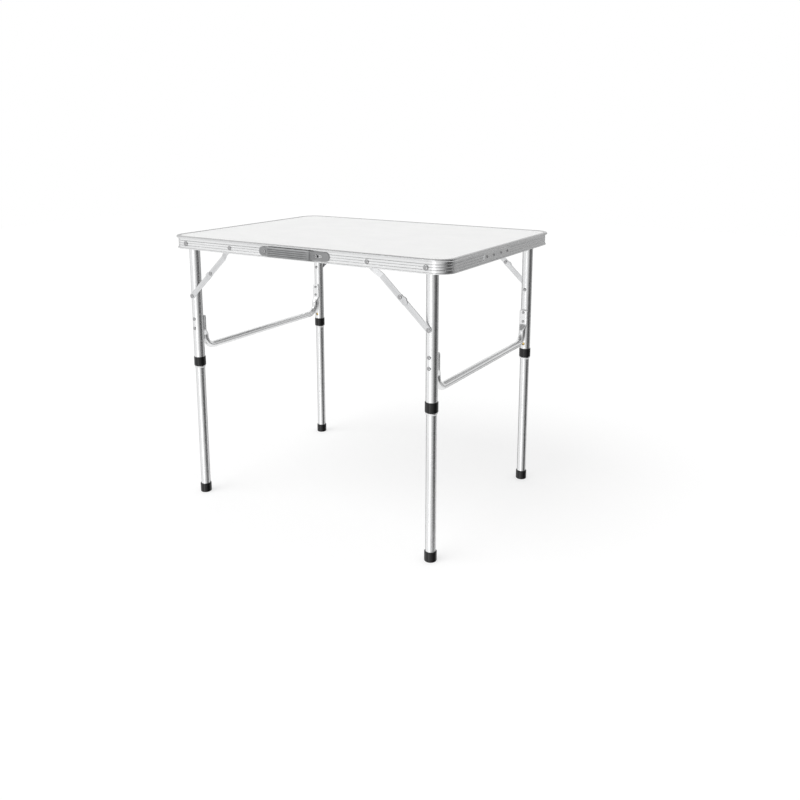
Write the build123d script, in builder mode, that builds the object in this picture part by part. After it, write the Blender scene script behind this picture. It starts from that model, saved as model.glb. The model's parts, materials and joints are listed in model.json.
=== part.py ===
from build123d import *

import os
from math import asin, cos, hypot, radians, sin

# Folding camping table: a board top in a bent edge rail, carried by two fold-away leg frames with
# knee braces, and raised by four plug-in extension legs. Millimetres, +Z up, X along the long side,
# the carry handle at -Y, the origin on the floor under the middle of the top.

# Overall sizes
table_length = 750.0
table_depth = 550.0
table_height = 650.0
low_height = 320.0
corner_radius = 42.0

# Clearances: pieces of one body, a pin in its hole, and moving neighbours
fit_gap = 0.05
pin_gap = 0.1
running_gap = 0.3

# Edge rail section
rail_height = 30.0
rail_recess = 4.5
rail_wall = 1.5
top_bead_height = 5.0
top_bead_round = 2.0
foot_bead_height = 2.5
foot_bead_setback = 2.4
foot_bead_round = 0.9
groove_count = 3
groove_width = 1.6
groove_depth = 0.6
lip_width = 9.0
lip_thickness = 0.8
ledge_width = 10.0
ledge_thickness = 1.2
panel_thickness = 3.0

# Splice of the rail's two ends on the right short side
seam_y = -40.0
seam_gap = 0.4
splice_length = 130.0
splice_height = 16.0
splice_thickness = 1.2
splice_corner_round = 2.0
splice_inner_step = 18.0
splice_outer_step = 52.0
splice_rivet_radius = 1.6
splice_head_radius = 3.6
splice_head_height = 1.8
splice_tail_radius = 2.9
splice_tail_height = 0.9

# Carry handle
handle_middle = -12.0
handle_screw_spacing = 142.0
strap_height = 20.0
strap_thickness = 2.0
strap_left_end = 14.0
strap_right_end = 34.0
strap_rise = 6.0
strap_pad = 6.5
strap_ramp = 10.0
strap_bend_radius = 5.0
strap_end_round = 9.0
strap_slot_travel = 14.0
grip_end_gap = 12.5
grip_height = 21.5
grip_thickness = 8.0
grip_round = 2.5
grip_groove_count = 4
grip_groove_radius = 0.9
handle_screw_radius = 2.0
handle_screw_head_radius = 4.6
handle_screw_head_height = 2.6
handle_screw_grip = 6.0

# Leg frames
pivot_drop = 17.5
leg_inset = 32.0
leg_diameter = 25.0
leg_wall = 1.0
bolt_radius = 3.0
bolt_head_radius = 6.0
bolt_head_height = 2.8
bolt_nut_radius = 5.2
bolt_nut_height = 3.0
spacer_radius = 8.0
collar_height = 22.0
collar_wall = 1.5
collar_lip = 2.0
collar_round = 1.0
cross_bar_rise = 42.0
cross_tube_diameter = 16.0
cross_bend_radius = 28.0
cross_flat_start = 1.0
cross_flat_taper = 18.0
cross_flat_length = 34.0
cross_flat_round = 3.0
cross_flat_width = 21.0
cross_flat_thickness = 7.5
cross_saddle_depth = 2.0
cross_lower_rivet = 5.0
cross_upper_rivet = 28.0
cross_rivet_radius = 2.0
cross_head_radius = 4.4
cross_head_height = 1.9
cross_tail_radius = 3.4
cross_tail_height = 1.6

# Knee braces
fold_angle = 88.0
brace_run = 138.0
brace_drop = 128.0
link_width = 13.0
link_thickness = 1.5
link_bend_start = 20.0
link_bend_length = 20.0
link_bend_radius = 4.0
link_overlap = 21.0
link_dimple_step = 12.5
link_dimple_radius = 2.6
link_dimple_depth = 0.5
stop_start = 6.0
stop_length = 8.0
brace_rivet_radius = 2.5
brace_head_radius = 5.0
brace_head_height = 2.2
brace_tail_radius = 4.3
brace_tail_height = 1.2

# Extension legs
extension_diameter = 22.4
extension_wall = 1.0
extension_insert = 56.0
bead_height = 5.0
bead_proud = 1.3
bead_gap = 0.2
foot_height = 22.0
foot_wall = 2.2
foot_floor = 3.0
foot_round = 1.5
button_below_top = 21.0
button_radius = 3.5
button_hole_gap = 0.4
button_sink = 0.2
button_length = 6.6
button_round = 1.75
button_flange_radius = 4.5
button_flange_height = 1.0
spring_thickness = 0.6
spring_width = 6.0
spring_length = 34.0
spring_above = 6.0
spring_bend_radius = 2.4

# Storage clips under the top
clip_side = -85.0
clip_width = 24.0
clip_outer_inset = 22.0
clip_inner_inset = 54.0
clip_wall = 2.0
clip_base = 3.0
clip_ring_overlap = 1.0
clip_base_margin = 2.0
clip_mouth_angle = 116.0
clip_screw_radius = 1.5
clip_screw_head_radius = 3.0
clip_screw_head_height = 1.8
clip_screw_bite = 2.0
clip_screw_spacing = 14.0

# Places that follow from those sizes
half_length = table_length / 2
half_depth = table_depth / 2
rail_face = half_depth - rail_recess
rail_inside = rail_face - rail_wall
panel_top_z = table_height - lip_thickness
panel_under_z = panel_top_z - panel_thickness
recess_top = top_bead_height
recess_bottom = rail_height - foot_bead_height
recess_middle_z = table_height - (recess_top + recess_bottom) / 2
splice_rivet_y = [seam_y + way * step for way in (-1, 1) for step in (splice_inner_step, splice_outer_step)]
pivot_x = half_length - corner_radius - spacer_radius
pivot_z = table_height - pivot_drop
leg_radius = leg_diameter / 2
leg_y = half_depth - leg_inset
leg_outer_y = leg_y + leg_radius
leg_inner_y = leg_y - leg_radius
collar_z = table_height - low_height
leg_bottom_z = collar_z + collar_lip
extension_radius = extension_diameter / 2
extension_top_z = collar_z + extension_insert
button_z = extension_top_z - button_below_top

# Knee brace: the two links are in line at rest, and lie along the rail when the leg is folded
brace_x = pivot_x - brace_run
brace_leg_z = pivot_z - brace_drop
brace_span = hypot(brace_run, brace_drop)
brace_surplus = brace_span - brace_run
folded_drop = brace_drop * sin(radians(fold_angle))
folded_knee = (brace_drop**2 - brace_surplus**2) / (2 * (brace_surplus + folded_drop))
upper_link_length = brace_run - folded_knee
lower_link_length = brace_span - upper_link_length
brace_cos = brace_run / brace_span
brace_sin = brace_drop / brace_span
knee_x = brace_x + upper_link_length * brace_cos
knee_z = pivot_z - upper_link_length * brace_sin

# Layers between the leg and the rail, as distances from the middle plane
tail_floor_y = leg_outer_y + running_gap
lower_link_y = tail_floor_y + brace_tail_height + running_gap
upper_link_y = lower_link_y + link_thickness + running_gap
rail_link_y = rail_inside - running_gap - link_thickness

sides = {"left": -1, "right": 1}
ends = {"front": -1, "rear": 1}
corners = [(f"{side}_{end}", sides[side], ends[end]) for side in sides for end in ends]

os.makedirs("parts", exist_ok=True)


def write(piece, label):
    piece.part.label = label
    export_step(piece.part, f"parts/{label}.step")


def write_copies(label, shape, places):
    """Write one node that holds a copy of a shape at each place."""
    with BuildPart() as copies:
        with Locations(*places):
            add(shape)
    write(copies, label)


def make_rivet(head_radius, head_height, shank_radius, shank_length, tail_radius=0, tail_height=0):
    """A dome-headed rivet along Z: the head's flat side is at z = 0, and the shank hangs below it."""
    dome_radius = (head_radius**2 + head_height**2) / (2 * head_height)
    half_turn = asin(head_radius / dome_radius) / 2
    crown = (dome_radius * sin(half_turn), head_height - dome_radius + dome_radius * cos(half_turn))
    outline = [(head_radius, 0), (shank_radius, 0), (shank_radius, -shank_length)]
    if tail_height:
        outline += [(tail_radius, -shank_length), (tail_radius, -shank_length - tail_height)]
    outline += [(0, -shank_length - tail_height), (0, head_height)]
    with BuildPart() as rivet:
        with BuildSketch(Plane.XZ):
            with BuildLine():
                ThreePointArc((0, head_height), crown, (head_radius, 0))
                Polyline(*outline)
            make_face()
        revolve(axis=Axis.Z)
    return rivet.part


def outward(x, distance, z, end):
    """A plane at a point of the front or rear side, facing away from the table's middle."""
    return Plane(origin=(x, end * distance, z), x_dir=(1, 0, 0), z_dir=(0, end, 0))


def four_corners(x, distance, z):
    return [outward(side * x, distance, z, end) for side in sides.values() for end in ends.values()]


# Edge rail: one extrusion bent round the board, its ends meeting at the splice
with BuildPart() as edge_frame:
    with BuildLine(Plane.XY.offset(table_height)):
        FilletPolyline(
            (half_length, seam_y + seam_gap / 2),
            (half_length, half_depth),
            (-half_length, half_depth),
            (-half_length, -half_depth),
            (half_length, -half_depth),
            (half_length, seam_y - seam_gap / 2),
            radius=corner_radius,
        )
    start = (half_length, seam_y + seam_gap / 2, table_height)
    with BuildSketch(Plane(origin=start, x_dir=(-1, 0, 0), z_dir=(0, 1, 0))) as rail_section:
        wall_inner = rail_recess + rail_wall
        panel_under = lip_thickness + panel_thickness
        groove_points = []
        for index in range(groove_count):
            middle = recess_top + (recess_bottom - recess_top) * (index + 1) / (groove_count + 1)
            groove_points.append((rail_recess, groove_width / 2 - middle))
            groove_points.append((rail_recess + groove_depth, -middle))
            groove_points.append((rail_recess, -groove_width / 2 - middle))
        with BuildLine():
            Polyline(
                (lip_width, -lip_thickness),
                (lip_width, 0),
                (0, 0),
                (0, -top_bead_height),
                (rail_recess, -recess_top),
                *groove_points,
                (rail_recess, -recess_bottom),
                (foot_bead_setback, -recess_bottom),
                (foot_bead_setback, -rail_height),
                (wall_inner, -rail_height),
                (wall_inner, -panel_under - ledge_thickness),
                (ledge_width, -panel_under - ledge_thickness),
                (ledge_width, -panel_under),
                (wall_inner, -panel_under),
                (wall_inner, -lip_thickness),
                close=True,
            )
        make_face()
        fillet(rail_section.vertices().group_by(Axis.X)[1], foot_bead_round)
        fillet(rail_section.vertices().group_by(Axis.X)[0], top_bead_round)
    sweep()
    with BuildSketch(Plane.XZ):
        with Locations((pivot_x, pivot_z), (-pivot_x, pivot_z)):
            Circle(bolt_radius + fit_gap)
        with Locations((brace_x, pivot_z), (-brace_x, pivot_z)):
            Circle(brace_rivet_radius + fit_gap)
    extrude(amount=half_depth, both=True, mode=Mode.SUBTRACT)
    with BuildSketch(Plane.XZ):
        with Locations((handle_middle, recess_middle_z)):
            with GridLocations(handle_screw_spacing, 0, 2, 1):
                Circle(handle_screw_radius + fit_gap)
    extrude(amount=half_depth, mode=Mode.SUBTRACT)
    with BuildSketch(Plane.YZ):
        with Locations(*[(y, recess_middle_z) for y in splice_rivet_y]):
            Circle(splice_rivet_radius + fit_gap)
    extrude(amount=half_length, mode=Mode.SUBTRACT)
write(edge_frame, "edge_frame")

# Board top, held between the rail's lip and its ledge
panel_edge = rail_recess + rail_wall + running_gap
clip_middle_x = half_length - (clip_outer_inset + clip_inner_inset) / 2
clip_screw_points = [
    (side * clip_middle_x, clip_side + step * clip_screw_spacing / 2)
    for side in sides.values()
    for step in (-1, 1)
]
with BuildPart() as top_panel:
    with BuildSketch(Plane.XY.offset(panel_under_z)):
        RectangleRounded(
            table_length - 2 * panel_edge, table_depth - 2 * panel_edge, corner_radius - panel_edge
        )
    extrude(amount=panel_thickness)
    with BuildSketch(Plane.XY.offset(panel_under_z)):
        with Locations(*clip_screw_points):
            Circle(clip_screw_radius + fit_gap)
    extrude(amount=clip_screw_bite, mode=Mode.SUBTRACT)
write(top_panel, "top_panel")

# Splice plate over the rail's seam, with its rivets
with BuildPart() as splice_plate:
    with BuildSketch(Plane.YZ.offset(half_length - rail_recess)):
        with Locations((seam_y, recess_middle_z)):
            RectangleRounded(splice_length, splice_height, splice_corner_round)
        with Locations(*[(y, recess_middle_z) for y in splice_rivet_y]):
            Circle(splice_rivet_radius + fit_gap, mode=Mode.SUBTRACT)
    extrude(amount=splice_thickness)
write(splice_plate, "splice_plate")

splice_rivet = make_rivet(
    splice_head_radius, splice_head_height, splice_rivet_radius, splice_thickness + rail_wall,
    splice_tail_radius, splice_tail_height,
)
splice_head_x = half_length - rail_recess + splice_thickness
write_copies(
    "splice_rivets",
    splice_rivet,
    [
        Plane(origin=(splice_head_x, y, recess_middle_z), z_dir=(1, 0, 0))
        for y in splice_rivet_y
    ],
)

# Carry handle: a sprung strap that slides on its right screw, inside a ribbed grip
screw_left = handle_middle - handle_screw_spacing / 2
screw_right = handle_middle + handle_screw_spacing / 2
strap_low_y = -rail_face - strap_thickness / 2
strap_high_y = strap_low_y - strap_rise


def sweep_strap(thickness, height, mode):
    """The strap's bowed bar: flat pads at its two screws, raised between them."""
    with BuildLine(Plane.XY.offset(recess_middle_z)) as strap_line:
        FilletPolyline(
            (screw_left - strap_left_end, strap_low_y),
            (screw_left + strap_pad, strap_low_y),
            (screw_left + strap_pad + strap_ramp, strap_high_y),
            (screw_right - strap_pad - strap_ramp, strap_high_y),
            (screw_right - strap_pad, strap_low_y),
            (screw_right + strap_right_end, strap_low_y),
            radius=strap_bend_radius,
        )
    with BuildSketch(Plane(origin=strap_line.line @ 0, x_dir=(0, 1, 0), z_dir=(1, 0, 0))) as bar:
        Rectangle(thickness, height)
    sweep(bar.sketch, path=strap_line.line, mode=mode)


with BuildPart() as handle_strap:
    sweep_strap(strap_thickness, strap_height, Mode.ADD)
    end_corners = handle_strap.edges().filter_by(Axis.Y)
    fillet(end_corners.group_by(Axis.X)[0] + end_corners.group_by(Axis.X)[-1], strap_end_round)
    with BuildSketch(Plane.XZ.offset(rail_face)):
        with Locations((screw_left, recess_middle_z)):
            Circle(handle_screw_radius + fit_gap)
        with Locations((screw_right + strap_slot_travel / 2, recess_middle_z)):
            SlotCenterToCenter(strap_slot_travel, 2 * (handle_screw_radius + running_gap))
    extrude(amount=strap_thickness, mode=Mode.SUBTRACT)
write(handle_strap, "handle_strap")

with BuildPart() as handle_grip:
    grip_left = screw_left + grip_end_gap
    grip_length = screw_right - grip_end_gap - grip_left
    with BuildSketch(Plane.YZ.offset(grip_left)):
        with Locations((strap_high_y, recess_middle_z)):
            RectangleRounded(grip_thickness, grip_height, grip_round)
        with Locations((strap_high_y - grip_thickness / 2, recess_middle_z)):
            with GridLocations(0, grip_height / (grip_groove_count + 1), 1, grip_groove_count):
                Circle(grip_groove_radius, mode=Mode.SUBTRACT)
    extrude(amount=grip_length)
    sweep_strap(strap_thickness + 2 * fit_gap, strap_height + 2 * fit_gap, Mode.SUBTRACT)
write(handle_grip, "handle_grip")

handle_screw = make_rivet(
    handle_screw_head_radius, handle_screw_head_height, handle_screw_radius, handle_screw_grip
)
write_copies(
    "handle_screws",
    handle_screw,
    [
        outward(x, rail_face + strap_thickness, recess_middle_z, ends["front"])
        for x in (screw_left, screw_right)
    ],
)

# Leg pivots: a bolt through the rail, a spacer bush and the leg's rounded top end
leg_pivot_bolt = make_rivet(
    bolt_head_radius, bolt_head_height, bolt_radius, rail_face - leg_inner_y + running_gap,
    bolt_nut_radius, bolt_nut_height,
)
write_copies("leg_pivot_bolts", leg_pivot_bolt, four_corners(pivot_x, rail_face, pivot_z))

with BuildPart() as pivot_spacer:
    with BuildSketch():
        Circle(spacer_radius)
        Circle(bolt_radius + fit_gap, mode=Mode.SUBTRACT)
    extrude(amount=rail_inside - leg_outer_y - running_gap)
write_copies(
    "pivot_spacers", pivot_spacer.part, four_corners(pivot_x, leg_outer_y + running_gap, pivot_z)
)

# Brace rivets in the rail
brace_rail_rivet = make_rivet(
    brace_head_radius, brace_head_height, brace_rivet_radius, rail_face - rail_link_y + running_gap,
    brace_tail_radius, brace_tail_height,
)
write_copies("brace_rail_rivets", brace_rail_rivet, four_corners(brace_x, rail_face, pivot_z))


def make_leg(side, end):
    """A leg tube: round top end about the pivot, and holes for bolt, rivets and snap button."""
    x = side * pivot_x
    y = end * leg_y
    with BuildPart() as leg:
        with BuildSketch(Plane.XY.offset(leg_bottom_z)):
            with Locations((x, y)):
                Circle(leg_radius)
                Circle(leg_radius - leg_wall, mode=Mode.SUBTRACT)
        extrude(amount=pivot_z + leg_radius - leg_bottom_z)
        with BuildSketch(Plane.XZ):
            with Locations((x, (pivot_z + leg_bottom_z) / 2)):
                Rectangle(leg_diameter, pivot_z - leg_bottom_z)
            with Locations((x, pivot_z)):
                Circle(leg_radius)
        extrude(amount=half_depth, both=True, mode=Mode.INTERSECT)
        with BuildSketch(Plane.XZ):
            with Locations((x, pivot_z)):
                Circle(bolt_radius + pin_gap)
            with Locations(*[(x, z) for z in cross_rivet_z]):
                Circle(cross_rivet_radius + fit_gap)
        extrude(amount=half_depth, both=True, mode=Mode.SUBTRACT)
        for hole_z, hole_radius in (
            (brace_leg_z, brace_rivet_radius + fit_gap),
            (button_z, button_radius + button_hole_gap),
        ):
            with BuildSketch(outward(x, leg_y, hole_z, end)):
                Circle(hole_radius)
            extrude(amount=-leg_diameter, mode=Mode.SUBTRACT)
    return leg


def make_cross_tube(side):
    """A bent tube between two legs: its arms are squashed flat and saddled round the legs."""
    x = side * pivot_x
    round_corner = cross_tube_diameter / 2 - fit_gap
    flat_corner = cross_flat_thickness / 2 - fit_gap
    with BuildPart() as cross_tube:
        with BuildLine(Plane.YZ.offset(x)):
            FilletPolyline(
                (arm_y, flat_start_z),
                (arm_y, cross_bar_z),
                (-arm_y, cross_bar_z),
                (-arm_y, flat_start_z),
                radius=cross_bend_radius,
            )
        with BuildSketch(Plane(origin=(x, arm_y, flat_start_z), z_dir=(0, 0, -1))):
            Circle(cross_tube_diameter / 2)
        sweep()
        for end in ends.values():
            with BuildSketch(Plane.XY.offset(flat_start_z)):
                with Locations((x, end * arm_y)):
                    RectangleRounded(cross_tube_diameter, cross_tube_diameter, round_corner)
            with BuildSketch(Plane.XY.offset(flat_z)):
                with Locations((x, end * flat_y)):
                    RectangleRounded(cross_flat_width, cross_flat_thickness, flat_corner)
            loft()
            with BuildSketch(Plane.XY.offset(flat_z)):
                with Locations((x, end * flat_y)):
                    RectangleRounded(cross_flat_width, cross_flat_thickness, flat_corner)
            extrude(amount=cross_flat_length)
        with BuildSketch(Plane.XY.offset(cross_bar_z)):
            with Locations((x, leg_y), (x, -leg_y)):
                Circle(leg_radius + fit_gap)
        extrude(amount=pivot_z - cross_bar_z, mode=Mode.SUBTRACT)
        with BuildSketch(Plane.XZ):
            with Locations((x, (arm_top_z + arm_low_z) / 2)):
                RectangleRounded(cross_flat_width, arm_top_z - arm_low_z, cross_flat_round)
        extrude(amount=half_depth, both=True, mode=Mode.INTERSECT)
        with BuildSketch(Plane.XZ):
            with Locations(*[(x, z) for z in cross_rivet_z]):
                Circle(cross_rivet_radius + fit_gap)
        extrude(amount=half_depth, both=True, mode=Mode.SUBTRACT)
    return cross_tube


# Leg frames: two legs with collars, a bent cross tube and its rivets
cross_bar_z = collar_z + cross_bar_rise
flat_start_z = cross_bar_z + cross_bend_radius + cross_flat_start
flat_z = flat_start_z + cross_flat_taper
cross_rivet_z = [flat_z + cross_lower_rivet, flat_z + cross_upper_rivet]
arm_y = leg_inner_y - running_gap - cross_tube_diameter / 2
arm_top_z = flat_z + cross_flat_length
arm_low_z = cross_bar_z - cross_tube_diameter
flat_y = leg_inner_y + cross_saddle_depth - cross_flat_thickness / 2

with BuildPart() as collar:
    collar_bore = leg_radius + fit_gap
    with BuildSketch(Plane.XZ) as collar_section:
        with BuildLine():
            Polyline(
                (extension_radius + running_gap, 0),
                (collar_bore + collar_wall, 0),
                (collar_bore + collar_wall, collar_height),
                (collar_bore, collar_height),
                (collar_bore, collar_lip),
                (extension_radius + running_gap, collar_lip),
                close=True,
            )
        make_face()
        fillet(collar_section.vertices().group_by(Axis.X)[-1], collar_round)
    revolve(axis=Axis.Z)

cross_rivet = make_rivet(
    cross_head_radius, cross_head_height, cross_rivet_radius,
    leg_outer_y - (flat_y - cross_flat_thickness / 2), cross_tail_radius, cross_tail_height,
)
brace_tail = make_rivet(brace_tail_radius, brace_head_height, brace_rivet_radius, 2 * leg_wall)

for side_name, side in sides.items():
    for end_name, end in ends.items():
        write(make_leg(side, end), f"{side_name}_{end_name}_leg")
        write_copies(
            f"{side_name}_{end_name}_collar", collar.part, [(side * pivot_x, end * leg_y, collar_z)]
        )
    write(make_cross_tube(side), f"{side_name}_cross_tube")
    write_copies(
        f"{side_name}_cross_rivets",
        cross_rivet,
        [
            outward(side * pivot_x, leg_outer_y, z, end)
            for end in ends.values()
            for z in cross_rivet_z
        ],
    )
    write_copies(
        f"{side_name}_brace_rivet_tails",
        brace_tail,
        [
            Plane(origin=(side * pivot_x, end * leg_inner_y, brace_leg_z), z_dir=(0, -end, 0))
            for end in ends.values()
        ],
    )


def brace_plane(side, end, distance):
    """A plane that a brace link lies on: X runs from the rail rivet down to the leg rivet."""
    return Plane(
        origin=(side * brace_x, end * distance, pivot_z),
        x_dir=(side * brace_cos, 0, -brace_sin),
        z_dir=(0, end, 0),
    )


def make_upper_link(side, end):
    """The link on the rail: cranked clear of the leg rivet, and overlapping the knee with a stop."""
    pivot_way = -side * end
    link_end = upper_link_length + link_overlap
    slot_length = link_end + link_width / 2
    stop_middle = upper_link_length + stop_start + stop_length / 2
    bend_end = link_bend_start + link_bend_length
    edge_plane = Plane(
        origin=(side * brace_x, 0, pivot_z),
        x_dir=(side * brace_cos, 0, -brace_sin),
        z_dir=(end * brace_sin, 0, side * end * brace_cos),
    )
    with BuildPart() as link:
        with BuildSketch(brace_plane(side, end, upper_link_y)):
            with Locations(((link_end - link_width / 2) / 2, 0)):
                SlotOverall(slot_length, link_width)
        extrude(amount=rail_inside - upper_link_y)
        with BuildSketch(edge_plane):
            with BuildLine():
                FilletPolyline(
                    (-link_width, rail_link_y),
                    (link_bend_start, rail_link_y),
                    (bend_end, upper_link_y),
                    (link_end, upper_link_y),
                    (link_end, upper_link_y + link_thickness),
                    (bend_end, upper_link_y + link_thickness),
                    (link_bend_start, rail_link_y + link_thickness),
                    (-link_width, rail_link_y + link_thickness),
                    radius=[0, *[link_bend_radius] * 2, 0, 0, *[link_bend_radius] * 2, 0],
                    close=True,
                )
            make_face()
        extrude(amount=link_width, both=True, mode=Mode.INTERSECT)
        stop_reach = running_gap + link_thickness
        with BuildSketch(brace_plane(side, end, upper_link_y)):
            with Locations((stop_middle, pivot_way * stop_reach / 2)):
                Rectangle(stop_length, link_width + stop_reach)
        extrude(amount=link_thickness)
        with BuildSketch(brace_plane(side, end, lower_link_y)):
            with Locations((stop_middle, pivot_way * (link_width / 2 + running_gap + link_thickness / 2))):
                Rectangle(stop_length, link_thickness)
        extrude(amount=upper_link_y - lower_link_y)
        with BuildSketch(brace_plane(side, end, upper_link_y)):
            Circle(brace_rivet_radius + pin_gap)
            with Locations((upper_link_length, 0)):
                Circle(brace_rivet_radius + fit_gap)
        extrude(amount=rail_inside - upper_link_y, mode=Mode.SUBTRACT)
        with BuildSketch(brace_plane(side, end, upper_link_y + link_thickness)):
            with Locations((upper_link_length + link_dimple_step, 0)):
                Circle(link_dimple_radius)
        extrude(amount=-link_dimple_depth, mode=Mode.SUBTRACT)
    return link


def make_lower_link(side, end):
    """The link on the leg: a flat strip between the knee rivet and the leg rivet."""
    with BuildPart() as link:
        with BuildSketch(brace_plane(side, end, lower_link_y)):
            with Locations((upper_link_length + lower_link_length / 2, 0)):
                SlotCenterToCenter(lower_link_length, link_width)
            with Locations((upper_link_length, 0)):
                Circle(brace_rivet_radius + pin_gap, mode=Mode.SUBTRACT)
            with Locations((brace_span, 0)):
                Circle(brace_rivet_radius + fit_gap, mode=Mode.SUBTRACT)
        extrude(amount=link_thickness)
    return link


# Knee braces, one at each leg
upper_link_face = upper_link_y + link_thickness
lower_link_face = lower_link_y + link_thickness
knee_rivet = make_rivet(
    brace_head_radius, brace_head_height, brace_rivet_radius,
    upper_link_face - lower_link_y + running_gap, brace_tail_radius, brace_tail_height,
)
leg_rivet = make_rivet(
    brace_head_radius, brace_head_height, brace_rivet_radius, lower_link_face - tail_floor_y
)
for corner, side, end in corners:
    write(make_upper_link(side, end), f"{corner}_upper_link")
    write(make_lower_link(side, end), f"{corner}_lower_link")
    write_copies(
        f"{corner}_knee_rivet", knee_rivet, [outward(side * knee_x, upper_link_face, knee_z, end)]
    )
    write_copies(
        f"{corner}_leg_rivet", leg_rivet, [outward(side * pivot_x, lower_link_face, brace_leg_z, end)]
    )


def make_extension(side, end):
    """A plug-in leg tube with a rolled bead that stops under the collar, and a button hole."""
    bead_top_z = collar_z - bead_gap
    bead_bottom_z = bead_top_z - bead_height
    inner_radius = extension_radius - extension_wall
    axis_place = Plane(origin=(side * pivot_x, end * leg_y, 0), x_dir=(1, 0, 0), z_dir=(0, -1, 0))
    with BuildPart() as tube:
        with BuildSketch(axis_place):
            with BuildLine():
                ThreePointArc(
                    (extension_radius, bead_bottom_z),
                    (extension_radius + bead_proud, (bead_bottom_z + bead_top_z) / 2),
                    (extension_radius, bead_top_z),
                )
                Polyline(
                    (extension_radius, bead_top_z),
                    (extension_radius, extension_top_z - extension_wall),
                    (extension_radius - extension_wall / 2, extension_top_z),
                    (inner_radius, extension_top_z),
                    (inner_radius, foot_floor),
                    (extension_radius, foot_floor),
                    (extension_radius, bead_bottom_z),
                )
            make_face()
        revolve(axis=Axis((side * pivot_x, end * leg_y, 0), (0, 0, 1)))
        with BuildSketch(outward(side * pivot_x, leg_y, button_z, end)):
            Circle(button_radius + running_gap)
        extrude(amount=-leg_diameter, mode=Mode.SUBTRACT)
    return tube


def make_spring(side, end):
    """The V-shaped leaf spring behind the snap button."""
    front_arm = extension_radius - button_sink - button_length - running_gap - spring_thickness / 2
    back_arm = -(extension_radius - extension_wall - 2 * running_gap - spring_thickness / 2)
    arm_top = button_z + spring_above
    place = Plane(origin=(side * pivot_x, end * leg_y, 0), x_dir=(0, -end, 0), z_dir=(-end, 0, 0))
    with BuildPart() as spring:
        with BuildSketch(place):
            with BuildLine():
                FilletPolyline(
                    (front_arm, arm_top),
                    (front_arm, button_z - spring_above),
                    (back_arm, arm_top - spring_length),
                    (back_arm, arm_top),
                    radius=spring_bend_radius,
                )
            trace(line_width=spring_thickness)
        extrude(amount=spring_width / 2, both=True)
    return spring


# Extension legs: tube, foot, leaf spring and snap button
with BuildPart() as foot:
    foot_bore = extension_radius + fit_gap
    with BuildSketch(Plane.XZ) as foot_section:
        with BuildLine():
            Polyline(
                (0, 0),
                (foot_bore + foot_wall, 0),
                (foot_bore + foot_wall, foot_height),
                (foot_bore, foot_height),
                (foot_bore, foot_floor),
                (0, foot_floor),
                close=True,
            )
        make_face()
        fillet(foot_section.vertices().group_by(Axis.X)[-1], foot_round)
    revolve(axis=Axis.Z)

with BuildPart() as button:
    with BuildSketch():
        Circle(button_radius)
    extrude(amount=-button_length)
    fillet(button.faces().sort_by(Axis.Z)[-1].edges(), button_round)
    with BuildSketch(Plane.XY.offset(-button_length)):
        Circle(button_flange_radius)
    extrude(amount=button_flange_height)

for corner, side, end in corners:
    write(make_extension(side, end), f"{corner}_extension_tube")
    write_copies(f"{corner}_foot", foot.part, [(side * pivot_x, end * leg_y, 0)])
    write(make_spring(side, end), f"{corner}_button_spring")
    button_face_y = leg_y - extension_radius + button_sink
    write_copies(
        f"{corner}_snap_button",
        button.part,
        [Plane(origin=(side * pivot_x, end * button_face_y, button_z), z_dir=(0, -end, 0))],
    )


def make_clip(side):
    """A double snap clip that holds two stowed extension legs across the table's end."""
    bore = extension_radius + running_gap
    ring = bore + clip_wall
    ring_z = panel_under_z - clip_base + clip_ring_overlap - ring
    ring_spread = clip_inner_inset - clip_outer_inset
    base_length = ring_spread + 2 * (ring - clip_base_margin)
    mouth_half = radians(clip_mouth_angle / 2)
    mouth_reach = 2 * ring
    mouth_x = mouth_reach * sin(mouth_half)
    mouth_z = -mouth_reach * cos(mouth_half)
    with BuildPart() as clip:
        with BuildSketch(Plane.XZ.offset(-clip_side)):
            with Locations((side * clip_middle_x, panel_under_z - clip_base / 2)):
                Rectangle(base_length, clip_base)
            with Locations((side * clip_middle_x, ring_z)):
                with GridLocations(ring_spread, 0, 2, 1):
                    Circle(ring)
                with GridLocations(ring_spread, 0, 2, 1):
                    Circle(bore, mode=Mode.SUBTRACT)
                    Polygon((0, 0), (-mouth_x, mouth_z), (mouth_x, mouth_z), align=None, mode=Mode.SUBTRACT)
        extrude(amount=clip_width / 2, both=True)
        with BuildSketch(Plane.XY.offset(panel_under_z)):
            with Locations((side * clip_middle_x, clip_side)):
                with GridLocations(0, clip_screw_spacing, 1, 2):
                    Circle(clip_screw_radius + fit_gap)
        extrude(amount=-clip_base, mode=Mode.SUBTRACT)
    return clip


# Storage clips and their screws
for side_name, side in sides.items():
    write(make_clip(side), f"{side_name}_storage_clip")
clip_screw = make_rivet(
    clip_screw_head_radius, clip_screw_head_height, clip_screw_radius, clip_base + clip_screw_bite - fit_gap
)
write_copies(
    "clip_screws",
    clip_screw,
    [Plane(origin=(x, y, panel_under_z - clip_base), z_dir=(0, 0, -1)) for x, y in clip_screw_points],
)
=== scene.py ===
import json
import math
from typing import NamedTuple

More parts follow.
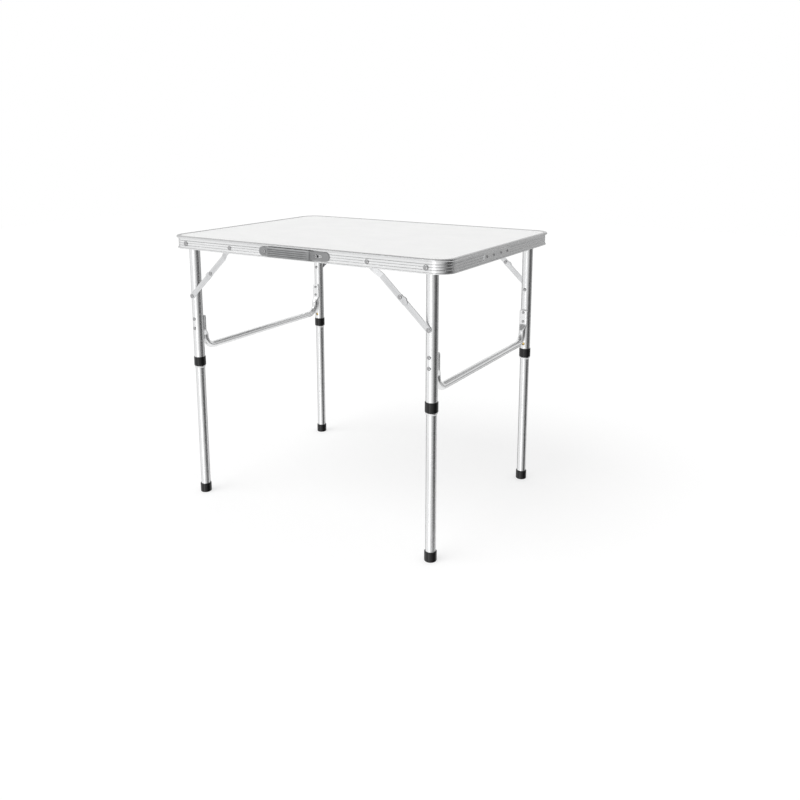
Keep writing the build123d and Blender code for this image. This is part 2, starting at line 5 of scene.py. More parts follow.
import bpy
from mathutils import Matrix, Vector


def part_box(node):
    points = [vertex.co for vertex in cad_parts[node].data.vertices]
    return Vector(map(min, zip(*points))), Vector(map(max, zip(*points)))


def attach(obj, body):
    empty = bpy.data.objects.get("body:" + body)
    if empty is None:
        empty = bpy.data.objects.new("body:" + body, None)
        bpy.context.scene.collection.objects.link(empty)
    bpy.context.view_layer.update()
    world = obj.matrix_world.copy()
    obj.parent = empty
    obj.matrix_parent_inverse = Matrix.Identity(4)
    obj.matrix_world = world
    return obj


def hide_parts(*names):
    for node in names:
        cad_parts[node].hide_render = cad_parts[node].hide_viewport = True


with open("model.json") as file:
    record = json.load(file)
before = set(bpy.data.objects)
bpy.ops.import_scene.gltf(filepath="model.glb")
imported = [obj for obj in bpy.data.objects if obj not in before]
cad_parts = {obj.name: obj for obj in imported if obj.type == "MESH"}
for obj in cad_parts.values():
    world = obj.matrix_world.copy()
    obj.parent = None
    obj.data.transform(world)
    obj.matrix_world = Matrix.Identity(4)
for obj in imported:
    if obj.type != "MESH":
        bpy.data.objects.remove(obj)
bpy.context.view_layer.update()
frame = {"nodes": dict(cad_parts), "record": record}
nodes = frame["nodes"]


# Shader helpers: every material is built from noise in the part's own frame, in metres

# Noise seldom leaves this range, so colours and polish are spread over it
noise_low = 0.3
noise_high = 0.7


def new_material(name):
    material = bpy.data.materials.new(name)
    material.use_nodes = True
    tree = material.node_tree
    return material, tree, tree.nodes["Principled BSDF"]


def place(tree):
    return tree.nodes.new("ShaderNodeTexCoord").outputs["Object"]


def noise(tree, waves, detail=3.0, rough=0.5, warp=0.0, at=None):
    """Noise over the part's frame; waves per metre along X, Y and Z, or one number for all three."""
    mapping = tree.nodes.new("ShaderNodeMapping")
    mapping.inputs["Scale"].default_value = waves if isinstance(waves, tuple) else (waves, waves, waves)
    texture = tree.nodes.new("ShaderNodeTexNoise")
    texture.inputs["Scale"].default_value = 1.0
    texture.inputs["Detail"].default_value = detail
    texture.inputs["Roughness"].default_value = rough
    texture.inputs["Distortion"].default_value = warp
    tree.links.new(at or place(tree), mapping.inputs["Vector"])
    tree.links.new(mapping.outputs["Vector"], texture.inputs["Vector"])
    return texture.outputs["Fac"]


def along_brace(tree):
    """Coordinates that run along and across the braces, mirrored for the left side."""
    mirror = tree.nodes.new("ShaderNodeVectorMath")
    mirror.operation = "ABSOLUTE"
    turn = tree.nodes.new("ShaderNodeVectorRotate")
    turn.rotation_type = "Y_AXIS"
    turn.inputs["Angle"].default_value = -brace_angle
    tree.links.new(place(tree), mirror.inputs[0])
    tree.links.new(mirror.outputs["Vector"], turn.inputs["Vector"])
    return turn.outputs["Vector"]


def ramp(tree, factor, *stops):
    """A colour ramp; each stop is a position and a grey value or an RGB colour."""
    node = tree.nodes.new("ShaderNodeValToRGB")
    elements = node.color_ramp.elements
    while len(elements) < len(stops):
        elements.new(0.5)
    for element, (position, value) in zip(elements, stops):
        element.position = position
        rgb = (value, value, value) if isinstance(value, float) else value
        element.color = (*rgb, 1.0)
    tree.links.new(factor, node.inputs["Fac"])
    return node.outputs["Color"]


def spread(tree, factor, low, high):
    """Noise stretched to run from low to high."""
    node = tree.nodes.new("ShaderNodeMapRange")
    node.inputs["From Min"].default_value = noise_low
    node.inputs["From Max"].default_value = noise_high
    node.inputs["To Min"].default_value = low
    node.inputs["To Max"].default_value = high
    tree.links.new(factor, node.inputs["Value"])
    return node.outputs["Result"]


def mix_colours(tree, first, second, factor, blend="MIX"):
    node = tree.nodes.new("ShaderNodeMix")
    node.data_type = "RGBA"
    node.blend_type = blend
    if isinstance(factor, float):
        node.inputs[0].default_value = factor
    else:
        tree.links.new(factor, node.inputs[0])
    tree.links.new(first, node.inputs[6])
    tree.links.new(second, node.inputs[7])
    return node.outputs[2]


def darker(colour, share):
    return tuple(share * channel for channel in colour)


def bump(tree, shader, *layers):
    """Stacked bump layers; each is a height, a strength and a depth in metres."""
    below = None
    for height, strength, depth in layers:
        node = tree.nodes.new("ShaderNodeBump")
        node.inputs["Strength"].default_value = strength
        node.inputs["Distance"].default_value = depth
        tree.links.new(height, node.inputs["Height"])
        if below:
            tree.links.new(below, node.inputs["Normal"])
        below = node.outputs["Normal"]
    tree.links.new(below, shader.inputs["Normal"])


# Worn metal: how far it shows, what it leaves of the dark and the light colour, and its scuffs
most_wear = 0.8
worn_dark = 0.90
worn_light = 0.95
scuff_waves = 90.0
scuff_haze = (-0.02, 0.04)


def metal(name, dark, light, polish, streaks, patches, streak_depth, lie=place, shade=None):
    """Worked metal: fine lines along the way it was drawn, and slow changes of polish."""
    material, tree, shader = new_material(name)
    shader.inputs["Metallic"].default_value = 1.0
    lines = noise(tree, streaks, detail=4.0, rough=0.6, at=lie(tree))
    clouds = noise(tree, patches)
    scuffs = noise(tree, scuff_waves, detail=6.0, rough=0.65, warp=0.6)
    fresh = ramp(tree, lines, (noise_low, dark), (noise_high, light))
    worn = ramp(tree, lines, (noise_low, darker(dark, worn_dark)), (noise_high, darker(light, worn_light)))
    colour = mix_colours(tree, fresh, worn, spread(tree, clouds, 0.0, most_wear))
    # Painted shade, multiplied into the colour where a metal is given one
    if shade:
        colour = mix_colours(tree, colour, shade(tree), 1.0, "MULTIPLY")
    tree.links.new(colour, shader.inputs["Base Color"])
    haze = tree.nodes.new("ShaderNodeMath")
    haze.operation = "ADD"
    tree.links.new(spread(tree, lines, *polish), haze.inputs[0])
    tree.links.new(spread(tree, scuffs, *scuff_haze), haze.inputs[1])
    tree.links.new(haze.outputs[0], shader.inputs["Roughness"])
    bump(tree, shader, (lines, 0.12, streak_depth), (scuffs, 0.05, streak_depth))
    return material


def rail_shade(tree):
    """Painted shade in the rail's grooves and in the steps at its beads, and a painted dark reflection on
    its lip.
    """
    split = tree.nodes.new("ShaderNodeSeparateXYZ")
    height = tree.nodes.new("ShaderNodeMapRange")
    height.inputs["From Min"].default_value = rail_low
    height.inputs["From Max"].default_value = rail_high
    tree.links.new(place(tree), split.inputs["Vector"])
    tree.links.new(split.outputs["Z"], height.inputs["Value"])
    stops = [(0.0, rail_foot_tone)]
    for middle, width, tone in rail_shade_lines:
        stops += [(middle - width, 1.0), (middle, tone), (middle + width, 1.0)]
    return ramp(tree, height.outputs["Result"], *stops, *rail_lip_dark_reflection)


# Moulded plastic: its clouds, what the painted shade in its grooves leaves of the dark and the light
# colour, and its gloss
cloud_waves = 60.0
cloud_low = 0.35
groove_shade_dark = 0.50
groove_shade_light = 0.58
plastic_gloss = 0.42


def plastic(name, dark, light, polish, grain, grain_depth):
    """Moulded plastic: a fine grain, cloudy gloss, and painted shade where a piece marks its grooves."""
    material, tree, shader = new_material(name)
    grains = noise(tree, grain, detail=2.0)
    clouds = noise(tree, cloud_waves, detail=4.0, rough=0.6)
    unshaded = ramp(tree, clouds, (cloud_low, dark), (noise_high, light))
    groove_shade_stops = (cloud_low, darker(dark, groove_shade_dark)), (noise_high, darker(light, groove_shade_light))
    groove_shade = ramp(tree, clouds, *groove_shade_stops)
    # Painted shade in the grooves, as strong as the groove attribute
    groove = tree.nodes.new("ShaderNodeAttribute")
    groove.attribute_name = "groove"
    tree.links.new(mix_colours(tree, unshaded, groove_shade, groove.outputs["Fac"]), shader.inputs["Base Color"])
    tree.links.new(spread(tree, clouds, *polish), shader.inputs["Roughness"])
    shader.inputs["Specular IOR Level"].default_value = plastic_gloss
    bump(tree, shader, (grains, 0.2, grain_depth), (clouds, 0.08, 4.0 * grain_depth))
    return material


def laminate(name, dark, light, polish, peel_depth):
    """White laminate: a faint mottle, a fine orange-peel surface and soft rub marks."""
    material, tree, shader = new_material(name)
    mottle = noise(tree, 14.0, detail=5.0, rough=0.6)
    peel = noise(tree, 900.0, detail=2.0)
    rubs = noise(tree, (7.0, 26.0, 10.0), detail=6.0, rough=0.7, warp=0.8)
    tree.links.new(ramp(tree, mottle, (noise_low, dark), (noise_high, light)), shader.inputs["Base Color"])
    tree.links.new(spread(tree, rubs, *polish), shader.inputs["Roughness"])
    bump(tree, shader, (peel, 0.12, peel_depth))
    return material


# Painted shade over the rail, with heights as shares of it: the tone of its foot; the middle, half width
# and tone of the painted shade in the step over the foot, in three grooves and in the step under the bead;
# then the painted dark reflection on the bead's top and the lip
rail_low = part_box("edge_frame")[0].z
rail_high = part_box("edge_frame")[1].z
rail_foot_tone = 0.86
rail_shade_lines = [
    (0.083, 0.018, 0.48),
    (0.271, 0.026, 0.46),
    (0.458, 0.026, 0.46),
    (0.646, 0.026, 0.46),
    (0.833, 0.020, 0.36),
]
rail_lip_dark_reflection = [(0.90, 0.88), (0.95, 0.76), (0.985, 0.52), (1.0, 0.48)]

# How steeply the braces run
brace_angle = math.radians(42.85)

# What the legs and the bent tubes have in common
drawn_metal = {
    "dark": (0.78, 0.785, 0.79),
    "light": (0.89, 0.893, 0.896),
    "polish": (0.20, 0.30),
    "streak_depth": 0.00002,
}
materials = {
    "white_board": laminate(
        "white_laminate", dark=(0.850, 0.852, 0.850), light=(0.886, 0.886, 0.882), polish=(0.30, 0.46),
        peel_depth=0.00005,
    ),
    "rail_aluminium": metal(
        "extruded_aluminium", dark=(0.79, 0.795, 0.80), light=(0.89, 0.893, 0.896), polish=(0.20, 0.32),
        streaks=(6.0, 6.0, 1500.0), patches=(9.0, 9.0, 60.0), streak_depth=0.00003, shade=rail_shade,
    ),
    "leg_aluminium": metal(
        "drawn_aluminium", streaks=(900.0, 900.0, 8.0), patches=(40.0, 40.0, 7.0), **drawn_metal,
    ),
    "link_steel": metal(
        "plated_strip", dark=(0.60, 0.605, 0.615), light=(0.80, 0.805, 0.81), polish=(0.22, 0.36),
        streaks=(14.0, 900.0, 900.0), patches=26.0, streak_depth=0.00003, lie=along_brace,
    ),
    "rivet_steel": metal(
        "polished_steel", dark=(0.36, 0.36, 0.365), light=(0.43, 0.43, 0.435), polish=(0.08, 0.14),
        streaks=700.0, patches=160.0, streak_depth=0.00001,
    ),
    "brass": metal(
        "brass", dark=(0.72, 0.50, 0.16), light=(0.90, 0.68, 0.28), polish=(0.16, 0.28),
        streaks=600.0, patches=200.0, streak_depth=0.00002,
    ),
    "black_plastic": plastic(
        "black_moulding", dark=(0.006, 0.006, 0.006), light=(0.011, 0.011, 0.012), polish=(0.09, 0.18),
        grain=2600.0, grain_depth=0.00002,
    ),
    "grey_plastic": plastic(
        "grey_moulding", dark=(0.33, 0.335, 0.34), light=(0.41, 0.415, 0.42), polish=(0.32, 0.46),
        grain=2200.0, grain_depth=0.00004,
    ),
}
# Metal that was drawn or rolled along Y, unlike the rest of its slot
bent_tube = metal("bent_aluminium", streaks=(900.0, 8.0, 900.0), patches=(40.0, 7.0, 40.0), **drawn_metal)
rolled_plate = metal(
    "rolled_aluminium", dark=(0.78, 0.785, 0.79), light=(0.88, 0.883, 0.886), polish=(0.22, 0.34),
    streaks=(900.0, 12.0, 1400.0), patches=(20.0, 20.0, 60.0), streak_depth=0.00003,
)
slots = {row["node"]: row["material_slot"] for row in frame["record"]["subparts"]}
for name, node in nodes.items():
    for slot in node.material_slots:
        slot.material = rolled_plate if name == "splice_plate" else materials[slots[name]]


# Pieces modelled here, in place of CAD nodes: smooth fasteners, the moulded grip and the cross tubes

sharp_angle = math.radians(38.0)
ends = {"front": -1, "rear": 1}
sides = ("left", "right")


def add_object(name, data):
    item = bpy.data.objects.new(name, data)
    bpy.context.scene.collection.objects.link(item)
    return item


def add_mesh(name, points, faces):
    mesh = bpy.data.meshes.new(name)
    mesh.from_pydata(points, [], faces)
    return add_object(name, mesh)


def add_piece(name, points, faces, body, slot, replaced, finish=None):
    piece = add_mesh(name, points, faces)
    piece.data.polygons.foreach_set("use_smooth", [True] * len(piece.data.polygons))
    piece.data.set_sharp_from_angle(angle=sharp_angle)
    piece.data.materials.append(finish or materials[slot])
    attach(piece, body)
    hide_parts(*replaced)
    return piece


def skin(rings, around):
    """Faces over rings of points, one ring after the other, closed at both ends."""
    faces = []
    for ring in range(rings - 1):
        near, far = ring * around, (ring + 1) * around
        for step in range(around):
            after = (step + 1) % around
            faces.append((near + step, far + step, far + after, near + after))
    last = (rings - 1) * around
    return [*faces, tuple(range(around)), tuple(reversed(range(last, last + around)))]


# Fasteners, turned on a lathe

class Fastener(NamedTuple):
    """In mm: radius and height of the head, radius and length of the shank, then the tail's, if any."""

    head: float
    crown: float
    shank: float
    grip: float
    tail: float = 0.0
    tail_height: float = 0.0


# One millimetre in the frame, which is in metres
mm = 0.001

bolt = Fastener(6.0, 2.8, 3.0, 40.3, 5.2, 3.0)
brace_rivet = Fastener(5.0, 2.2, 2.5, 3.6, 4.3, 1.2)
leg_rivet = Fastener(5.0, 2.2, 2.5, 3.0)
leg_tail = Fastener(4.3, 2.2, 2.5, 2.0)
cross_rivet = Fastener(4.4, 1.9, 2.0, 30.5, 3.4, 1.6)
splice_rivet = Fastener(3.6, 1.8, 1.6, 2.7, 2.9, 0.9)
screw = Fastener(4.6, 2.6, 2.0, 6.0)
clip_screw = Fastener(3.0, 1.8, 1.5, 4.95)

# A head's rim and the dimple in its crown, as shares of radius and height
rim_share = 0.10
dimple = [(0.10, 0.985), (0.05, 0.95), (0.0, 0.94)]
dome_steps = 10

# A tail's rolled end, as shares of its radius and lifts in mm, and the share of its height that is rounded
tail_roll = [(0.0, 0.2), (0.35, 0.1), (0.45, 0.0), (0.85, 0.0)]
tail_round = 0.3

# Reach, depth and arm width of the screws' recesses, and the height on a head where they end, in mm
screw_recess = (3.1, 1.3, 1.5)
clip_screw_recess = (2.1, 0.9, 1.0)
recess_low = 0.5
screw_segments = 64

# The middle rivets of the splice, from the seam between the rail's ends, in metres
splice_step = 0.018


def turned_profile(fastener):
    """Radius and height, in mm, from the tail's middle round to the crown."""
    head, crown, shank, grip, tail, tail_height = fastener
    profile = [(shank, -grip), (shank, 0.0), (head, 0.0), (head, rim_share * crown)]
    if tail:
        foot = -grip - tail_height
        rolled = [(share * tail, foot + lift) for share, lift in tail_roll]
        profile = [*rolled, (tail, foot + tail_round * tail_height), (tail, -grip), *profile]
    else:
        profile = [(0.0, -grip), *profile]
    for step in range(1, dome_steps):
        turn = math.radians(90.0 * step / dome_steps)
        profile.append((head * math.cos(turn), crown * (rim_share + (1.0 - rim_share) * math.sin(turn))))
    return profile + [(across * head, up * crown) for across, up in dimple]


def cross_recess(radius, angle, reach, depth, arm_width):
    """How deep, in mm, a cross-head driver's recess is at a point of the screw's head."""
    across = min(abs(radius * math.cos(angle)), abs(radius * math.sin(angle)))
    arm = max(0.0, 1.0 - (2.0 * across / arm_width) ** 4)
    return depth * arm * max(0.0, 1.0 - (radius / reach) ** 3)


def lathe(profile, places, segments, recess=None):
    """Copies of a turned shape; each place is a point and the way that the shape's crown faces."""
    points, faces = [], []
    for origin, axis in places:
        turn = Vector(axis).to_track_quat("Z", "Y").to_matrix()
        rings = []
        for radius, height in profile:
            rings.append([])
            for step in range(segments if radius else 1):
                angle = 2.0 * math.pi * step / segments
                sink = cross_recess(radius, angle, *recess) if recess and height > recess_low else 0.0
                local = Vector((radius * math.cos(angle), radius * math.sin(angle), height - sink)) * mm
                rings[-1].append(len(points))
                points.append(Vector(origin) + turn @ local)
        for low_ring, high_ring in zip(rings, rings[1:]):
            for step in range(segments):
                after = (step + 1) % segments
                corners = [low_ring[i % len(low_ring)] for i in (step, after)]
                corners += [high_ring[i % len(high_ring)] for i in (after, step)]
                faces.append(tuple(dict.fromkeys(corners)))
    return points, faces


def add_fasteners(name, fastener, places, body, replaced, segments=40, recess=None):
    shape = lathe(turned_profile(fastener), places, segments, recess)
    add_piece(name, *shape, body, "rivet_steel", [replaced])


def rail_places(node, fastener):
    """Four fasteners in the long rails, found from their node's box."""
    low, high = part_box(node)
    x, y, z = high.x - fastener.head * mm, high.y - fastener.crown * mm, (low.z + high.z) / 2
    return [((side * x, end * y, z), (0, end, 0)) for side in (-1, 1) for end in (-1, 1)]


for name, fastener, node, segments in (
    ("pivot_bolt_set", bolt, "leg_pivot_bolts", 48),
    ("rail_rivet_set", brace_rivet, "brace_rail_rivets", 40),
):
    add_fasteners(name, fastener, rail_places(node, fastener), "tabletop", node, segments)

low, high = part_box("splice_rivets")
face_x, middle_z = high.x - splice_rivet.crown * mm, (low.z + high.z) / 2
seam_y = (low.y + high.y) / 2
splice_y = [
    low.y + splice_rivet.head * mm,
    seam_y - splice_step,
    seam_y + splice_step,
    high.y - splice_rivet.head * mm,
]
add_fasteners(
    "splice_rivet_set", splice_rivet, [((face_x, y, middle_z), (1, 0, 0)) for y in splice_y], "tabletop",
    "splice_rivets", 32,
)

for side_name in sides:
    leg_frame = f"{side_name}_leg_frame"
    low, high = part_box(f"{side_name}_cross_rivets")
    middle_x, face_y = (low.x + high.x) / 2, high.y - cross_rivet.crown * mm
    heights = (low.z + cross_rivet.head * mm, high.z - cross_rivet.head * mm)
    add_fasteners(
        f"{side_name}_cross_rivet_set", cross_rivet,
        [((middle_x, end * face_y, z), (0, end, 0)) for end in (-1, 1) for z in heights],
        leg_frame, f"{side_name}_cross_rivets",
    )
    low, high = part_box(f"{side_name}_brace_rivet_tails")
    bore_y, middle_z = high.y - leg_tail.grip * mm, (low.z + high.z) / 2
    add_fasteners(
        f"{side_name}_rivet_tail_set", leg_tail,
        [((middle_x, end * bore_y, middle_z), (0, -end, 0)) for end in (-1, 1)],
        leg_frame, f"{side_name}_brace_rivet_tails",
    )
    for end_name, end in ends.items():
        corner = f"{side_name}_{end_name}"
        for kind, rivet, body in (("knee", brace_rivet, "upper_brace"), ("leg", leg_rivet, "lower_brace")):
            low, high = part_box(f"{corner}_{kind}_rivet")
            face_y = max(abs(low.y), abs(high.y)) - rivet.crown * mm
            spot = ((low.x + high.x) / 2, end * face_y, (low.z + high.z) / 2)
            add_fasteners(
                f"{corner}_{kind}_rivet_head", rivet, [(spot, (0, end, 0))], f"{corner}_{body}",
                f"{corner}_{kind}_rivet",
            )

low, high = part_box("handle_screws")
face_y, middle_z = low.y + screw.crown * mm, (low.z + high.z) / 2
screw_places = [
    ((x, face_y, middle_z), (0, -1, 0))
    for x in (low.x + screw.head * mm, high.x - screw.head * mm)
]
add_fasteners(
    "handle_screw_set", screw, screw_places, "tabletop", "handle_screws", screw_segments, screw_recess,
)
low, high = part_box("clip_screws")
clip_screw_places = [
    ((side * (high.x - clip_screw.head * mm), y, low.z + clip_screw.crown * mm), (0, 0, -1))
    for side in (-1, 1)
    for y in (low.y + clip_screw.head * mm, high.y - clip_screw.head * mm)
]
add_fasteners(
    "clip_screw_set", clip_screw, clip_screw_places, "tabletop", "clip_screws", screw_segments,
    clip_screw_recess,
)


# Grip, in metres: its rounded edges and ends, and the grooves in its front

grip_round = 0.0025
grip_end_inset = 0.0016
grip_end_length = 0.0030
groove_count = 4
groove_width = 0.0011
groove_depth = 0.0010
groove_start = 0.0015
groove_fade = 0.0045
grip_stations = 44
grip_face_steps = 80
grip_corner_steps = 9


def grip_outline(half_y, half_z):
    """The grip's section: up its front face in fine steps, then round its corners and back."""
    flat_y, flat_z = half_y - grip_round, half_z - grip_round
    outline = [(-half_y, flat_z * (2 * step / grip_face_steps - 1.0)) for step in range(grip_face_steps)]
    for middle_y, middle_z, start in (
        (-flat_y, flat_z, 180), (flat_y, flat_z, 90), (flat_y, -flat_z, 0), (-flat_y, -flat_z, -90),
    ):
        for step in range(grip_corner_steps):
            turn = math.radians(start - 90 * step / grip_corner_steps)
            outline.append((middle_y + grip_round * math.cos(turn), middle_z + grip_round * math.sin(turn)))
    return outline


def make_grip():
    """The grip: a soft rounded bar with grooves along its front, fading out before its ends."""
    low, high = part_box("handle_grip")
    middle = (low + high) / 2
    half = (high - low) / 2
    pitch = 2.0 * half.z / (groove_count + 1)
    groove_heights = [pitch * (index - (groove_count - 1) / 2) for index in range(groove_count)]
    points, grooves = [], []
    for station in range(grip_stations + 1):
        x = -half.x * math.cos(math.pi * station / grip_stations)
        end_gap = half.x - abs(x)
        inset = grip_end_inset * max(0.0, 1.0 - end_gap / grip_end_length) ** 2
        fade = min(1.0, max(0.0, (end_gap - groove_start) / groove_fade))
        outline = grip_outline(half.y - inset, half.z - inset)
        for y, z in outline:
            dip = sum(max(0.0, 1.0 - ((z - height) / groove_width) ** 2) ** 2 for height in groove_heights)
            groove = fade * dip if y < 0.0 else 0.0
            points.append((middle.x + x, middle.y + y + groove_depth * groove, middle.z + z))
            grooves.append(groove)
    faces = skin(grip_stations + 1, len(outline))
    grip = add_piece("moulded_grip", points, faces, "tabletop", "grey_plastic", ["handle_grip"])
    # The groove share also tells the plastic where to paint shade into the grooves
    grip.data.attributes.new("groove", "FLOAT", "POINT").data.foreach_set("value", grooves)


make_grip()


# Cross tubes, in metres: the round tube, its bends, its squashed ends and the legs that they lie on

tube_radius = 0.008
tube_segments = 96
bend_radius = 0.028
bend_widening = 0.035
bend_flattening = 0.07
bend_steps = 18
flat_thickness = 0.0075
flat_length = 0.034
flat_round = 0.003
flat_edge = 0.0006
flat_edge_length = 0.0009
flat_squareness = 3.4
round_squareness = 2.0
squash_length = 0.018
squash_steps = 20
saddle_depth = 0.002
saddle_gap = 0.00005
arm_gap = 0.0003
leg_radius = 0.0125

# How far down a squashed end, and how far along half of the bar, the sections are
end_drops = [0.0, 0.0003, 0.0009, 0.0018, flat_round, *(share * flat_length for share in (0.25, 0.5, 0.8))]
bar_shares = (0.75, 0.5, 0.25, 0.0)


def cross_tube_stations(low, high):
    """Half of a cross tube, from its top end to the middle of its bar.

    Each station is a place and the outward way there, in the YZ plane, then half the section's
    width and thickness, and its squareness.
    """
    half_flat = flat_thickness / 2
    flat_width = (high.x - low.x) / 2
    flat_y = high.y - half_flat
    arm_y = high.y - saddle_depth - arm_gap - tube_radius
    bend_y, bend_z = arm_y - bend_radius, low.z + tube_radius + bend_radius
    stations = []
    for drop in end_drops:
        corner = max(0.0, flat_round - drop)
        width = flat_width - flat_round + math.sqrt(flat_round**2 - corner**2)
        edge = flat_edge * max(0.0, 1.0 - drop / flat_edge_length) ** 2
        stations.append((flat_y, high.z - drop, 1.0, 0.0, width, half_flat - edge, flat_squareness))
    for step in range(squash_steps + 1):
        share = step / squash_steps
        blend = share * share * (3.0 - 2.0 * share)
        width = flat_width + blend * (tube_radius - flat_width)
        thickness = half_flat + blend * (tube_radius - half_flat)
        squareness = flat_squareness + blend * (round_squareness - flat_squareness)
        z = high.z - flat_length - share * squash_length
        stations.append((flat_y + blend * (arm_y - flat_y), z, 1.0, 0.0, width, thickness, squareness))
    for step in range(bend_steps + 1):
        turn = math.radians(90.0 - 90.0 * step / bend_steps)
        flatten = math.sin(2.0 * turn)
        y, z = bend_y + bend_radius * math.sin(turn), bend_z - bend_radius * math.cos(turn)
        width = tube_radius * (1.0 + bend_widening * flatten)
        thickness = tube_radius * (1.0 - bend_flattening * flatten)
        stations.append((y, z, math.sin(turn), -math.cos(turn), width, thickness, round_squareness))
    bar_z = low.z + tube_radius
    for share in bar_shares:
        stations.append((share * bend_y, bar_z, 0.0, -1.0, tube_radius, tube_radius, round_squareness))
    return stations


def make_cross_tube(side_name):
    """A bent tube whose ends are squashed smoothly and hollowed to lie round the legs."""
    low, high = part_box(f"{side_name}_cross_tube")
    half = cross_tube_stations(low, high)
    mirrored = [(-y, z, -out_y, out_z, *section) for y, z, out_y, out_z, *section in reversed(half[:-1])]
    stations = half + mirrored
    middle_x = (low.x + high.x) / 2
    leg_y = high.y - saddle_depth + leg_radius
    saddle_radius = leg_radius + saddle_gap
    points = []
    for y, z, out_y, out_z, width, thickness, squareness in stations:
        for step in range(tube_segments):
            turn = 2.0 * math.pi * step / tube_segments
            c, s = math.cos(turn), math.sin(turn)
            across = width * math.copysign(abs(c) ** (2.0 / squareness), c)
            out = thickness * math.copysign(abs(s) ** (2.0 / squareness), s)
            point_y = y + out_y * out
            if abs(across) < saddle_radius:
                reach = leg_y - math.sqrt(saddle_radius**2 - across**2)
                point_y = max(-reach, min(reach, point_y))
            points.append((middle_x + across, point_y, z + out_z * out))
    add_piece(
        f"{side_name}_bent_tube", points, skin(len(stations), tube_segments), f"{side_name}_leg_frame",
        "leg_aluminium", [f"{side_name}_cross_tube"], bent_tube,
    )


for side_name in sides:
    make_cross_tube(side_name)


# Studio: white floor and surroundings, cards that show in reflections, and one soft key light

world_light = 0.72
world_seen = 1.0
floor_reach = 6.0
floor_z = -0.0002
floor_grey = 0.42
floor_glow = 0.61
white = (1.0, 1.0, 1.0, 1.0)
black = (0.0, 0.0, 0.0, 1.0)


def seen_directly(tree):
    """1 for camera, glossy and transmission rays, 0 for the rays that light the object."""
    path = tree.nodes.new("ShaderNodeLightPath")
    total = path.outputs["Is Camera Ray"]
    for output in ("Is Glossy Ray", "Is Transmission Ray"):
        node = tree.nodes.new("ShaderNodeMath")
        node.operation = "MAXIMUM"
        tree.links.new(total, node.inputs[0])
        tree.links.new(path.outputs[output], node.inputs[1])
        total = node.outputs[0]
    return total


def square(reach, z):
    return [(x * reach, y * reach, z) for x, y in ((-1, -1), (1, -1), (1, 1), (-1, 1))]


def add_card(name, points, faces, tones):
    """A card that only shows in reflections, with a tone for each of its points."""
    card = add_mesh(name, points, faces)
    card.data.attributes.new("tone", "FLOAT", "POINT").data.foreach_set("value", tones)
    material, tree, shader = new_material(name)
    reader = tree.nodes.new("ShaderNodeAttribute")
    reader.attribute_name = "tone"
    shader.inputs["Base Color"].default_value = black
    shader.inputs["Specular IOR Level"].default_value = 0.0
    shader.inputs["Emission Color"].default_value = white
    tree.links.new(reader.outputs["Fac"], shader.inputs["Emission Strength"])
    card.data.materials.append(material)
    card.visible_camera = False
    card.visible_diffuse = False
    card.visible_shadow = False


world = bpy.data.worlds.new("studio")
bpy.context.scene.world = world
world.use_nodes = True
tree = world.node_tree
background = tree.nodes["Background"]
background.inputs["Color"].default_value = white
strength = tree.nodes.new("ShaderNodeMapRange")
strength.inputs["To Min"].default_value = world_light
strength.inputs["To Max"].default_value = world_seen
tree.links.new(seen_directly(tree), strength.inputs["Value"])
tree.links.new(strength.outputs["Result"], background.inputs["Strength"])

floor = add_mesh("floor", square(floor_reach, floor_z), [(0, 1, 2, 3)])
floor_material, tree, shader = new_material("floor_white")
shader.inputs["Base Color"].default_value = (floor_grey, floor_grey, floor_grey, 1.0)
shader.inputs["Roughness"].default_value = 0.9
shader.inputs["Specular IOR Level"].default_value = 0.0
shader.inputs["Emission Color"].default_value = white
lift = tree.nodes.new("ShaderNodeMath")
lift.operation = "MULTIPLY"
lift.inputs[1].default_value = floor_glow
tree.links.new(seen_directly(tree), lift.inputs[0])
tree.links.new(lift.outputs[0], shader.inputs["Emission Strength"])
floor.data.materials.append(floor_material)
floor.visible_glossy = False

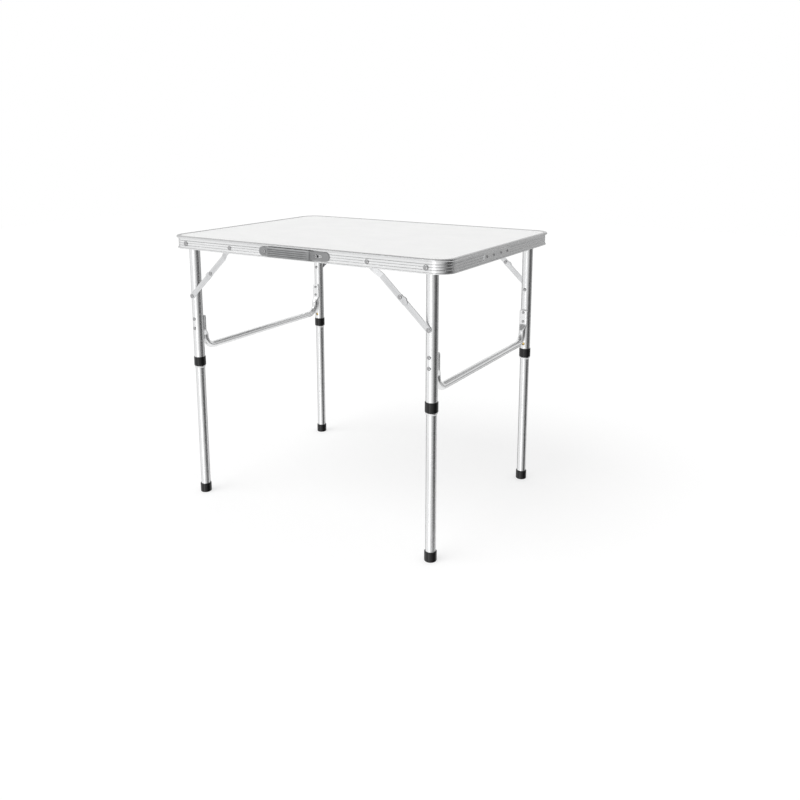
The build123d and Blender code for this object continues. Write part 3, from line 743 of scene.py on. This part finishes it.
# What is mirrored from all round: an azimuth in degrees, and the tone of each band from the floor upwards
surroundings = [
    (-142.0, 1.0, 1.0, 1.0, 1.0),
    (-98.0, 1.0, 1.0, 1.0, 1.0),
    (-92.0, 2.2, 2.2, 1.0, 1.0),
    (-84.0, 2.2, 2.2, 1.0, 1.0),
    (-78.0, 1.02, 1.02, 1.0, 1.0),
    (-62.0, 0.95, 0.95, 0.95, 0.95),
    (-46.0, 0.66, 0.66, 0.66, 0.66),
    (-26.0, 0.32, 0.32, 0.36, 0.36),
    (-6.0, 0.07, 0.07, 0.10, 0.10),
    (14.0, 0.05, 0.05, 0.20, 0.20),
    (36.0, 0.22, 0.22, 0.50, 0.30),
    (44.0, 0.70, 0.28, 0.90, 0.36),
    (62.0, 0.90, 0.40, 0.95, 0.36),
    (70.0, 0.90, 0.42, 0.95, 0.40),
    (84.0, 0.40, 0.28, 0.95, 0.50),
    (104.0, 0.20, 0.20, 0.98, 0.90),
    (124.0, 0.20, 0.20, 1.0, 1.0),
    (160.0, 0.50, 0.50, 1.0, 1.0),
    (190.0, 0.90, 0.90, 1.0, 1.0),
]
card_reach = 9.0
card_bands = [(-5.6, -2.8), (-2.0, -0.3), (0.6, 2.6), (4.0, 7.0)]
wall, wall_tones = [], []
for azimuth, *tones in surroundings:
    x, y = card_reach * math.cos(math.radians(azimuth)), card_reach * math.sin(math.radians(azimuth))
    for tone, band in zip(tones, card_bands):
        wall += [(x, y, z) for z in band]
        wall_tones += [tone for z in band]
levels = 2 * len(card_bands)
wall_faces = [
    (i, i + levels, i + levels + 1, i + 1)
    for i in range(len(wall) - levels)
    if i % levels < levels - 1
]
add_card("round_card", wall, wall_faces, wall_tones)

ceiling_reach = 3.4
ceiling_z = 5.0
ceiling_tone = 0.12
add_card("ceiling_card", square(ceiling_reach, ceiling_z), [(0, 1, 2, 3)], [ceiling_tone] * 4)

# Key light: where it comes from and how wide it looks, in degrees
key_azimuth = -120.0
key_elevation = 55.0
key_width = 40.0
key_strength = 1.1
key_data = bpy.data.lights.new("key", "SUN")
key_data.energy = key_strength
key_data.angle = math.radians(key_width)
key = add_object("key", key_data)
key.rotation_euler = (math.radians(90.0 - key_elevation), 0.0, math.radians(key_azimuth + 90.0))

# Camera at the photograph's viewing angle: its place in metres, and its angles in degrees
camera_place = (1.0862, -1.6143, 0.8930)
camera_dip = 11.03
camera_turn = 31.39
camera_data = bpy.data.cameras.new("camera")
camera_data.lens = 36.247
camera_data.sensor_width = 36.0
camera_data.shift_y = -0.14
camera = add_object("camera", camera_data)
camera.location = camera_place
camera.rotation_euler = (math.radians(90.0 - camera_dip), 0.0, math.radians(camera_turn))
bpy.context.scene.camera = camera
bpy.context.scene.view_settings.view_transform = "Standard"
